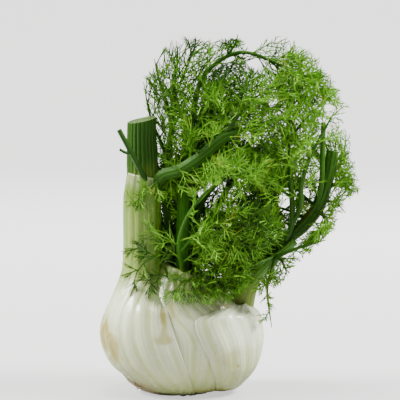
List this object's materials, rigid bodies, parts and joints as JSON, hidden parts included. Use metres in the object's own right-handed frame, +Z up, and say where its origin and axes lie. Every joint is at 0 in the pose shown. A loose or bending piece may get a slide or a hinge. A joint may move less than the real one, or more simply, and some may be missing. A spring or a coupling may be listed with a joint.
{
  "type": "fennel bulb",
  "caption": "Florence fennel: a white ribbed bulb of overlapping sheaths on a trimmed root plate, with cut green stalks and feathery fronds.",
  "frame": {"origin": "middle of the root plate's flat underside, which stands on the table", "axes": "+Z up through the bulb, +X along the bulb's width to the side of the fronds, +Y away from the viewer of the picture"},
  "size_m": [0.1709, 0.1041, 0.2334],
  "materials": {
    "sheath_white": "satin",
    "sheath_pale": "satin",
    "root_tan": "matte",
    "stalk_green": "satin",
    "frond_green": "matte",
    "frond_dark": "matte",
    "frond_bright": "matte"
  },
  "bodies": {
    "root": {"root_plate": "root_tan", "sheath_left": "sheath_white", "sheath_middle": "sheath_white", "sheath_right_outer": "sheath_white", "sheath_right": "sheath_pale", "stalk_left": "stalk_green", "frond_upper_left": "frond_dark", "frond_arch": "frond_green", "frond_cross": "frond_bright", "frond_centre": "frond_green", "frond_low_centre": "frond_green", "frond_front": "frond_bright", "frond_low_left": "frond_bright", "frond_shoulder": "frond_bright", "stalk_right": "stalk_green", "frond_right": "frond_green", "frond_right_low": "frond_bright", "frond_back_left": "frond_dark", "frond_back": "frond_green", "frond_back_low": "frond_dark"}
  },
  "joints": []
}
